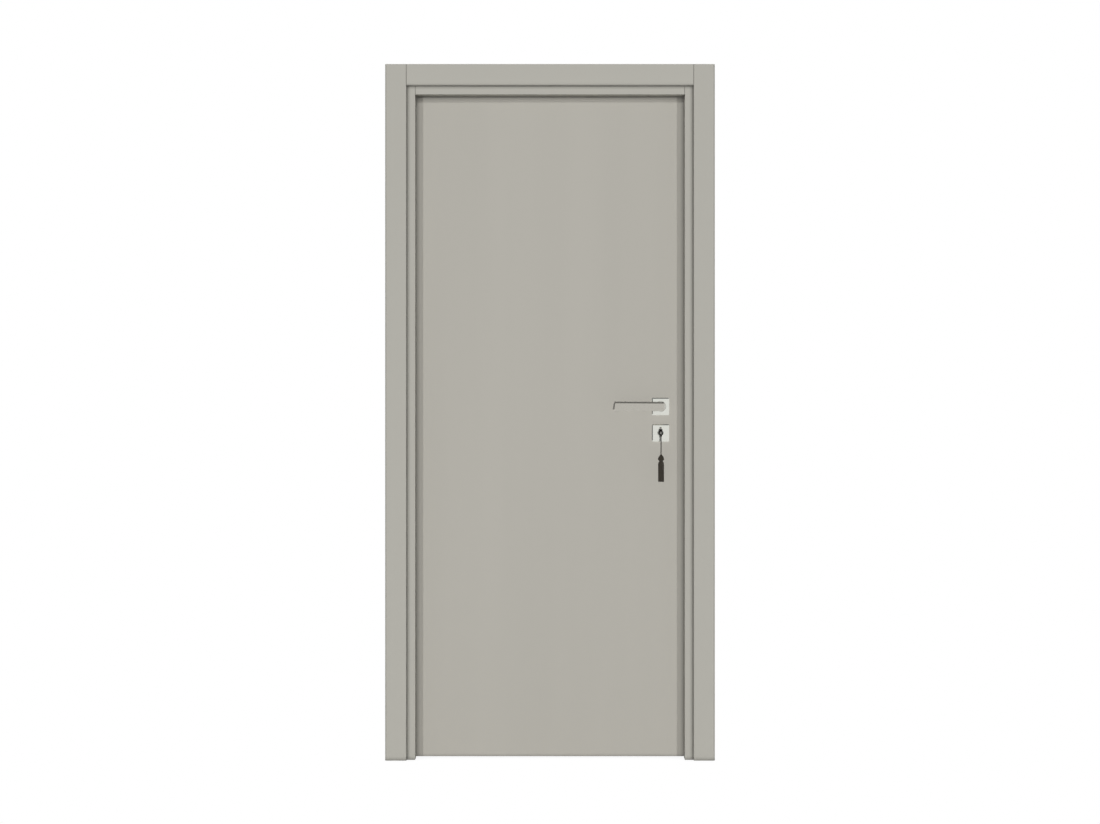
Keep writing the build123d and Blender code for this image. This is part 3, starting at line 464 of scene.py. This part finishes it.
# %% Screws on the hinge flaps
FLAP_SCREW_LEVELS = (12, 37, 63, 88)
FLAP_SCREW_PLACES = (10, 26)
FIRST_TURN = 0.3
TURN_STEP = 0.9
RIGHTWARD = 1
LEFTWARD = -1
rebate_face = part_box("head_jamb")[0].x
leaf_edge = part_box("leaf_hinge_stile")[0].x
for level in HINGE_LEVELS:
    frame_low, frame_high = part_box(f"{level}_frame_hinge")
    leaf_low, leaf_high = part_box(f"{level}_leaf_hinge")
    pin_tip = ((frame_high.z - frame_low.z) - (leaf_high.z - leaf_low.z)) / 2
    flap_bottom = frame_low.z + pin_tip
    for owner, face_x, outward in (("frame", rebate_face, RIGHTWARD), ("leaf", leaf_edge, LEFTWARD)):
        heads = []
        for number, screw_level in enumerate(FLAP_SCREW_LEVELS):
            screw_place = FLAP_SCREW_PLACES[number % 2]
            centre = (face_x, frame_low.y + screw_place * MILLIMETRE, flap_bottom + screw_level * MILLIMETRE)
            heads.append(screw_head(centre, outward, FIRST_TURN + TURN_STEP * number))
        make_piece(f"{level}_{owner}_hinge_screws", heads, hinge_steel, owner)

# %% Screws on the forend and the strike plate
FOREND_SCREW_INSET = 12 * MILLIMETRE
FOREND_TURNS = (0.5, 1.2)
STRIKE_SCREW_INSET = 14 * MILLIMETRE
STRIKE_TURNS = (0.2, 0.8)
case_low, case_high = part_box("lock_case")
strike_low, strike_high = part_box("strike_plate")
lock_middle = (case_low.y + case_high.y) / 2
forend_levels = (case_low.z + FOREND_SCREW_INSET, case_high.z - FOREND_SCREW_INSET)
forend_heads = [
    screw_head((case_high.x, lock_middle, screw_level), RIGHTWARD, turn)
    for screw_level, turn in zip(forend_levels, FOREND_TURNS)
]
make_piece("forend_screws", forend_heads, lock_steel, "leaf")
strike_levels = (strike_low.z + STRIKE_SCREW_INSET, strike_high.z - STRIKE_SCREW_INSET)
strike_heads = [
    screw_head((strike_low.x, lock_middle, screw_level), LEFTWARD, turn)
    for screw_level, turn in zip(strike_levels, STRIKE_TURNS)
]
make_piece("strike_screws", strike_heads, lock_steel, "frame")

# %% [markdown]
# ## The tassel on the key
#
# A cord is hitched round the key's bow, hangs in a small loop with a knot under it, and runs down to
# a tassel: a head of wound thread, a bound neck and a skirt of loose threads cut off square. Tubes carried
# along paths make all of it. The cord is laid from three strands, so its surface twists as real cord does.

# %% Where the tassel hangs
loop_low, loop_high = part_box("tassel_loop")
cord_low, cord_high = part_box("tassel_cord")
head_low, head_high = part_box("tassel_head")
skirt_low, skirt_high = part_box("tassel_skirt")
hang_x = (cord_low.x + cord_high.x) / 2
hang_y = (cord_low.y + cord_high.y) / 2
cord_thickness = cord_high.x - cord_low.x
cord_length = cord_high.z - cord_low.z
UPWARD = np.array([0.0, 0.0, 1.0])
INWARD = np.array([0.0, 1.0, 0.0])
print("cord", round(cord_length, 4), "m long and", round(cord_thickness, 4), "m thick")

# %% The cord's route and its strands
ROUTE_POINTS = 8
ROUTE_ORDER = 3
ROUTE_RESOLUTION = 12
STRANDS = 3
STRAND_SIDES = 8
CORD_TURNS = 7
route = bpy.data.curves.new("cord_route", "CURVE")
route.dimensions = "3D"
route_line = route.splines.new("NURBS")
route_line.points.add(ROUTE_POINTS - 1)
for number, point in enumerate(route_line.points):
    drop = cord_length * number / (ROUTE_POINTS - 1)
    point.co = (hang_x, hang_y, cord_high.z - drop, 1)
route_line.order_u = ROUTE_ORDER
route_line.use_endpoint_u = True
route_line.resolution_u = ROUTE_RESOLUTION
route_object = bpy.data.objects.new("cord_route", route)
route_mesh = bpy.data.meshes.new_from_object(route_object)
cord_path = np.empty(len(route_mesh.vertices) * 3)
route_mesh.vertices.foreach_get("co", cord_path)
cord_path = cord_path.reshape(-1, 3)
bpy.data.meshes.remove(route_mesh)
bpy.data.curves.remove(route)
cord_strands = twisted(cord_path, cord_thickness, STRANDS, CORD_TURNS, STRAND_SIDES, INWARD)
cord = make_piece("key_cord", cord_strands, cord_thread, "tassel")
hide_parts("tassel_cord")

# %% The hitch round the bow
WRAP_TURNS = 4
WRAP_SAMPLES = 160
WRAP_THICKNESS = 2.4 * MILLIMETRE
WRAP_SQUARENESS = 0.8
TUBE_SIDES = 10
hitch_low, hitch_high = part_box("cord_hitch")
hitch_centre = (hitch_low + hitch_high) / 2
wrap_reach = (hitch_high.x - hitch_low.x) / 2 - WRAP_THICKNESS / 2
wrap_height = hitch_high.z - hitch_low.z - WRAP_THICKNESS


def squared(wave):
    """A cosine or sine that stays longer near its ends, so that a circle made of two fills its corners."""
    return np.sign(wave) * np.abs(wave) ** WRAP_SQUARENESS


wrap = np.linspace(0, 2 * np.pi * WRAP_TURNS, WRAP_SAMPLES)
wrap_path = points_at(
    hitch_centre.x + wrap_reach * squared(np.cos(wrap)),
    hitch_centre.y + wrap_reach * squared(np.sin(wrap)),
    hitch_centre.z + wrap_height * (wrap / wrap[-1] - 0.5),
)
hitch_tube = tube(wrap_path, WRAP_THICKNESS / 2, TUBE_SIDES, UPWARD)
hitch = make_piece("bow_hitch", [hitch_tube], cord_thread, "key")
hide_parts("cord_hitch")

# %% The loop
LOOP_THICKNESS = 3.4 * MILLIMETRE
LOOP_SAMPLES = 96
loop_reach = (loop_high.x - loop_low.x) / 2 - LOOP_THICKNESS / 2
loop_centre_z = loop_high.z - LOOP_THICKNESS / 2 - loop_reach
sweep = np.linspace(0, 2 * np.pi, LOOP_SAMPLES)
loop_path = points_at(
    hang_x + loop_reach * np.sin(sweep),
    hang_y,
    loop_centre_z - loop_reach * np.cos(sweep),
)
loop_tube = tube(loop_path, LOOP_THICKNESS / 2, TUBE_SIDES, INWARD)
loop = make_piece("key_loop", [loop_tube], cord_thread, "tassel")
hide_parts("tassel_loop")

# %% The knot under the loop
KNOT_SAMPLES = 140
KNOT_THICKNESS = 2.2 * MILLIMETRE
KNOT_WAVE = 0.25
KNOT_ROUNDS = 2
KNOT_LOBES = 3
knot_reach = (loop_high.y - loop_low.y) / 2 - KNOT_THICKNESS / 2
knot_top = loop_centre_z - loop_reach
knot_middle = (knot_top + cord_high.z) / 2
knot_half = (knot_top - cord_high.z) / 2
wind = np.linspace(0, 2 * np.pi, KNOT_SAMPLES)
knot_radius = knot_reach * (1 - KNOT_WAVE + KNOT_WAVE * np.cos(KNOT_LOBES * wind))
knot_path = points_at(
    hang_x + knot_radius * np.cos(KNOT_ROUNDS * wind),
    hang_y + knot_radius * np.sin(KNOT_ROUNDS * wind),
    knot_middle + knot_half * np.sin(KNOT_LOBES * wind),
)
knot_tube = tube(knot_path, KNOT_THICKNESS / 2, TUBE_SIDES, UPWARD)
knot = make_piece("key_knot", [knot_tube], cord_thread, "tassel")

# %% The tassel's head
HEAD_ROWS = 40
HEAD_COLUMNS = 144
HEAD_RIBS = 36
RIB_DEPTH = 0.025
BELLY_SHARE = 0.76
NECK_RADIUS = 5.8 * MILLIMETRE
cord_reach = cord_thickness / 2
head_reach = (head_high.x - head_low.x) / 2 / (1 + RIB_DEPTH)
neck_reach = NECK_RADIUS / (1 + RIB_DEPTH)
down = np.linspace(0, 1, HEAD_ROWS)
rising = np.sin(np.pi / 2 * np.clip(down / BELLY_SHARE, 0, 1))
falling = np.cos(np.pi / 2 * np.clip((down - BELLY_SHARE) / (1 - BELLY_SHARE), 0, 1))
outline = np.where(
    down < BELLY_SHARE,
    cord_reach + (head_reach - cord_reach) * rising,
    neck_reach + (head_reach - neck_reach) * falling,
)
head_angle = round_angles(HEAD_COLUMNS)
ribbed = outline[:, None] * (1 + RIB_DEPTH * np.cos(HEAD_RIBS * head_angle))
head_surface = points_at(
    hang_x + ribbed * np.cos(head_angle),
    hang_y + ribbed * np.sin(head_angle),
    (head_high.z - down * (head_high.z - head_low.z))[:, None],
)
tassel_head = make_piece("thread_head", [head_surface], tassel_thread, "tassel")
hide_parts("tassel_head")

# %% The binding round the neck
BINDING_TURNS = 4
BINDING_THICKNESS = 1.1 * MILLIMETRE
BINDING_SAMPLES = 200
coil = np.linspace(0, 2 * np.pi * BINDING_TURNS, BINDING_SAMPLES)
binding_path = points_at(
    hang_x + neck_reach * np.cos(coil),
    hang_y + neck_reach * np.sin(coil),
    head_low.z + BINDING_THICKNESS - BINDING_TURNS * BINDING_THICKNESS * coil / coil[-1],
)
binding_tube = tube(binding_path, BINDING_THICKNESS / 2, TUBE_SIDES, UPWARD)
binding = make_piece("neck_binding", [binding_tube], tassel_thread, "tassel")

# %% The skirt of loose threads
FRINGE_ROWS = 16
FRINGE_SIDES = 6
FRINGE_THICKNESS = 1.1 * MILLIMETRE
SHOULDER_DROP = 7 * MILLIMETRE
SWAY = 0.02
LENGTH_SPREAD = 0.8 * MILLIMETRE
CORE_COLUMNS = 48
OUTER_THREADS = 52
INNER_THREADS = 44
FALL_SPACING = 1.3
CHANCE_SEED = 7
skirt_reach = (skirt_high.x - skirt_low.x) / 2
skirt_length = skirt_high.z - skirt_low.z
chance = np.random.default_rng(CHANCE_SEED)


def fringe(count, reach):
    """Threads in a ring: each leaves the neck, swells over the shoulder, then hangs with a slight sway."""
    angle = round_angles(count)[:, None]
    fall = np.linspace(0, 1, FRINGE_ROWS)[None, :] ** FALL_SPACING
    phase = chance.uniform(0, 2 * np.pi, (count, 1))
    length = skirt_length - chance.uniform(0, LENGTH_SPREAD, (count, 1))
    drop = fall * length
    swell = np.clip(drop / SHOULDER_DROP, 0, 1)
    start = neck_reach - FRINGE_THICKNESS
    radius = start + (reach - start) * smooth(swell)
    swayed = angle + SWAY * swell * np.sin(2 * np.pi * fall + phase)
    middle_x = hang_x + radius * np.cos(swayed)
    middle_y = hang_y + radius * np.sin(swayed)
    around = round_angles(FRINGE_SIDES)
    threads = points_at(
        middle_x[:, :, None] + FRINGE_THICKNESS / 2 * np.cos(around),
        middle_y[:, :, None] + FRINGE_THICKNESS / 2 * np.sin(around),
        (skirt_high.z - drop)[:, :, None],
    )
    return list(threads)


outer_reach = skirt_reach - FRINGE_THICKNESS / 2
inner_reach = outer_reach - FRINGE_THICKNESS
core_drop = np.linspace(0, skirt_length - 2 * LENGTH_SPREAD, FRINGE_ROWS)
core_swell = np.clip(core_drop / SHOULDER_DROP, 0, 1)
core_reach = neck_reach - 2 * FRINGE_THICKNESS + (inner_reach - neck_reach + FRINGE_THICKNESS) * core_swell
core_angle = round_angles(CORE_COLUMNS)
core = points_at(
    hang_x + core_reach[:, None] * np.cos(core_angle),
    hang_y + core_reach[:, None] * np.sin(core_angle),
    (skirt_high.z - core_drop)[:, None],
)
skirt_threads = fringe(OUTER_THREADS, outer_reach) + fringe(INNER_THREADS, inner_reach)
tassel_skirt = make_piece("thread_skirt", [core, *skirt_threads], tassel_thread, "tassel")
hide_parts("tassel_skirt")

print("cord declared with", len(cord_path), "points")

# %% [markdown]
# ## Light, floor and camera
#
# The photograph is lit from the front: a left, a right and a top light that are small enough to draw
# a band of shade round the leaf, where the lining holds one of them off. A weak even fill opens the shade.
# The ground and the surroundings are white to the camera and in reflections, and a painted shadow on the
# ground, a soft dimming of its glow near the door, keeps the door standing on it. Two grey cards, one
# overhead and one on the left, are seen in reflections alone, and draw the bevels of the plates and the
# lever. The lining beside the handle is kept out of reflections, which leaves the plates bright up to their
# right edges. The photograph shows no shade of the handle on the leaf, so the small fittings cast none. Two
# lights behind the door, which the front never sees, show its back.

# %% What casts no shade, and what stays out of reflections
fitting_names = ("front_lever", "front_lever_rose", "front_key_plate", "key")
fitting_pieces = (cord, hitch, loop, knot, tassel_head, binding, tassel_skirt)
for fitting in [*(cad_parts[name] for name in fitting_names), *fitting_pieces]:
    fitting.visible_shadow = False
for lining_name in ("strike_jamb", "front_strike_architrave"):
    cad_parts[lining_name].visible_glossy = False
print("no shade from", len(fitting_names) + len(fitting_pieces), "pieces")

# %% Front and back lights
SIDE_ANGLE = np.radians(21.3)
SIDE_RISE = np.radians(1.6)
TOP_ANGLE = np.radians(17.5)
LIGHT_SHARE = 0.26
BACK_ANGLE = np.radians(35.0)
BACK_RISE = np.radians(15.0)
BACK_SHARE = 0.35
SHADE_SOFTNESS = np.radians(3.0)
FRONT = -1
BACK = 1


def distant_light(name, side_angle, rise, towards, share):
    """A far light on one face of the wall, giving its share of that face's brightness, and no glints."""
    level = np.cos(rise)
    direction = Vector((np.sin(side_angle) * level, towards * np.cos(side_angle) * level, np.sin(rise)))
    light = bpy.data.lights.new(name, "SUN")
    light.energy = share * np.pi / abs(direction.y)
    light.angle = SHADE_SOFTNESS
    lamp = place(name, light)
    lamp.rotation_mode = "QUATERNION"
    lamp.rotation_quaternion = (-direction).to_track_quat("-Z", "Y")
    lamp.visible_glossy = False
    print("lit", name)


distant_light("left_light", -SIDE_ANGLE, SIDE_RISE, FRONT, LIGHT_SHARE)
distant_light("right_light", SIDE_ANGLE, SIDE_RISE, FRONT, LIGHT_SHARE)
distant_light("top_light", 0, TOP_ANGLE, FRONT, LIGHT_SHARE)
distant_light("back_left_light", -BACK_ANGLE, BACK_RISE, BACK, BACK_SHARE)
distant_light("back_right_light", BACK_ANGLE, BACK_RISE, BACK, BACK_SHARE)


# %% Helpers for the surroundings
def cleared_nodes(owner):
    """The emptied nodes of a material or a world, and its links."""
    owner.use_nodes = True
    owner.node_tree.nodes.clear()
    return owner.node_tree.nodes, owner.node_tree.links


def seen_directly(nodes, links):
    """1 for rays from the camera, from a reflection or through glass, and 0 for the rest."""
    path = nodes.new("ShaderNodeLightPath")
    either = larger_of(nodes, links, path.outputs["Is Camera Ray"])
    links.new(path.outputs["Is Glossy Ray"], either.inputs[1])
    any_of_three = larger_of(nodes, links, either.outputs["Value"])
    links.new(path.outputs["Is Transmission Ray"], any_of_three.inputs[1])
    return any_of_three.outputs["Value"]


def split_by_ray(nodes, links, giving, seen, end):
    """Mixes the shader that gives light to surfaces with the one that is seen, and feeds the output node."""
    mix = nodes.new("ShaderNodeMixShader")
    links.new(seen_directly(nodes, links), mix.inputs["Fac"])
    links.new(giving, mix.inputs[1])
    links.new(seen, mix.inputs[2])
    links.new(mix.outputs["Shader"], end.inputs["Surface"])


def flat_sheet(name, corners, material):
    """One face with four corners, and its material."""
    mesh = bpy.data.meshes.new(name)
    mesh.from_pydata(corners, [], [(0, 1, 2, 3)])
    mesh.materials.append(material)
    return place(name, mesh)


# %% White surroundings
FILL = 0.118
SEEN_WHITE = 1.0
world = bpy.data.worlds.new("studio")
bpy.context.scene.world = world
world_nodes, world_links = cleared_nodes(world)


def even_white(strength):
    """White light of one strength from all round."""
    background = world_nodes.new("ShaderNodeBackground")
    background.inputs["Color"].default_value = (1, 1, 1, 1)
    background.inputs["Strength"].default_value = strength
    return background.outputs["Background"]


world_end = world_nodes.new("ShaderNodeOutputWorld")
split_by_ray(world_nodes, world_links, even_white(FILL), even_white(SEEN_WHITE), world_end)
print("surroundings give", FILL, "and look white")

# %% Floor
FLOOR_REACH = 30.0
FLOOR_DROP = 1 * MILLIMETRE
FLOOR_GREY = 0.8
PAINTED_FLOOR_SHADOW_REACH = 0.08
PAINTED_FLOOR_SHADOW_DARKEST = 0.93
FLOOR_BRIGHTEST = 1.0
floor_white = bpy.data.materials.new("floor_white")
floor_nodes, floor_links = cleared_nodes(floor_white)
pale = floor_nodes.new("ShaderNodeBsdfDiffuse")
pale.inputs["Color"].default_value = (FLOOR_GREY, FLOOR_GREY, FLOOR_GREY, 1)
# Painted shadow: an ambient occlusion node dims the floor's white glow near the door.
painted_floor_shadow = floor_nodes.new("ShaderNodeAmbientOcclusion")
painted_floor_shadow.inputs["Distance"].default_value = PAINTED_FLOOR_SHADOW_REACH
glow = floor_nodes.new("ShaderNodeEmission")
glow_with_painted_shadow = ranged(floor_nodes, floor_links, painted_floor_shadow.outputs["AO"], PAINTED_FLOOR_SHADOW_DARKEST, FLOOR_BRIGHTEST)
floor_links.new(glow_with_painted_shadow, glow.inputs["Strength"])
floor_end = floor_nodes.new("ShaderNodeOutputMaterial")
split_by_ray(floor_nodes, floor_links, pale.outputs["BSDF"], glow.outputs["Emission"], floor_end)
floor_corners = [
    (-FLOOR_REACH, -FLOOR_REACH, -FLOOR_DROP),
    (FLOOR_REACH, -FLOOR_REACH, -FLOOR_DROP),
    (FLOOR_REACH, FLOOR_REACH, -FLOOR_DROP),
    (-FLOOR_REACH, FLOOR_REACH, -FLOOR_DROP),
]
floor = flat_sheet("floor", floor_corners, floor_white)
print("floor laid")

# %% Grey cards for the reflections
CARD_LEVEL = 0.25
card_grey = bpy.data.materials.new("card_grey")
card_nodes, card_links = cleared_nodes(card_grey)
card_glow = card_nodes.new("ShaderNodeEmission")
card_glow.inputs["Strength"].default_value = CARD_LEVEL
card_end = card_nodes.new("ShaderNodeOutputMaterial")
card_links.new(card_glow.outputs["Emission"], card_end.inputs["Surface"])


def grey_card(name, corners):
    """A flat card that shows in reflections and nowhere else."""
    card = flat_sheet(name, corners, card_grey)
    card.visible_camera = False
    card.visible_diffuse = False
    card.visible_transmission = False
    card.visible_shadow = False


TOP_CARD_SIDE = 6.0
TOP_CARD_HEIGHT = 4.0
TOP_CARD_NEAR = -1.2
TOP_CARD_FAR = -6.5
SIDE_CARD_PLACE = -4.0
SIDE_CARD_NEAR = -1.5
SIDE_CARD_FAR = -9.0
SIDE_CARD_HEIGHT = 3.0
grey_card(
    "top_card",
    [
        (-TOP_CARD_SIDE, TOP_CARD_NEAR, TOP_CARD_HEIGHT),
        (TOP_CARD_SIDE, TOP_CARD_NEAR, TOP_CARD_HEIGHT),
        (TOP_CARD_SIDE, TOP_CARD_FAR, TOP_CARD_HEIGHT),
        (-TOP_CARD_SIDE, TOP_CARD_FAR, TOP_CARD_HEIGHT),
    ],
)
grey_card(
    "side_card",
    [
        (SIDE_CARD_PLACE, SIDE_CARD_NEAR, 0),
        (SIDE_CARD_PLACE, SIDE_CARD_FAR, 0),
        (SIDE_CARD_PLACE, SIDE_CARD_FAR, SIDE_CARD_HEIGHT),
        (SIDE_CARD_PLACE, SIDE_CARD_NEAR, SIDE_CARD_HEIGHT),
    ],
)
print("grey cards stand overhead and on the left")

# %% Camera
CAMERA_DISTANCE = 7.0
CAMERA_HEIGHT = 1.057
VIEW_WIDTH = 3.335
SENSOR = 36.0
camera_data = bpy.data.cameras.new("camera")
camera_data.sensor_width = SENSOR
camera_data.lens = SENSOR * CAMERA_DISTANCE / VIEW_WIDTH
camera = place("camera", camera_data)
camera.location = ((cad_low.x + cad_high.x) / 2, cad_low.y - CAMERA_DISTANCE, CAMERA_HEIGHT)
camera.rotation_euler = (np.pi / 2, 0, 0)
bpy.context.scene.camera = camera
bpy.context.scene.view_settings.view_transform = "Standard"
print("camera stands", CAMERA_DISTANCE, "m in front of the door")
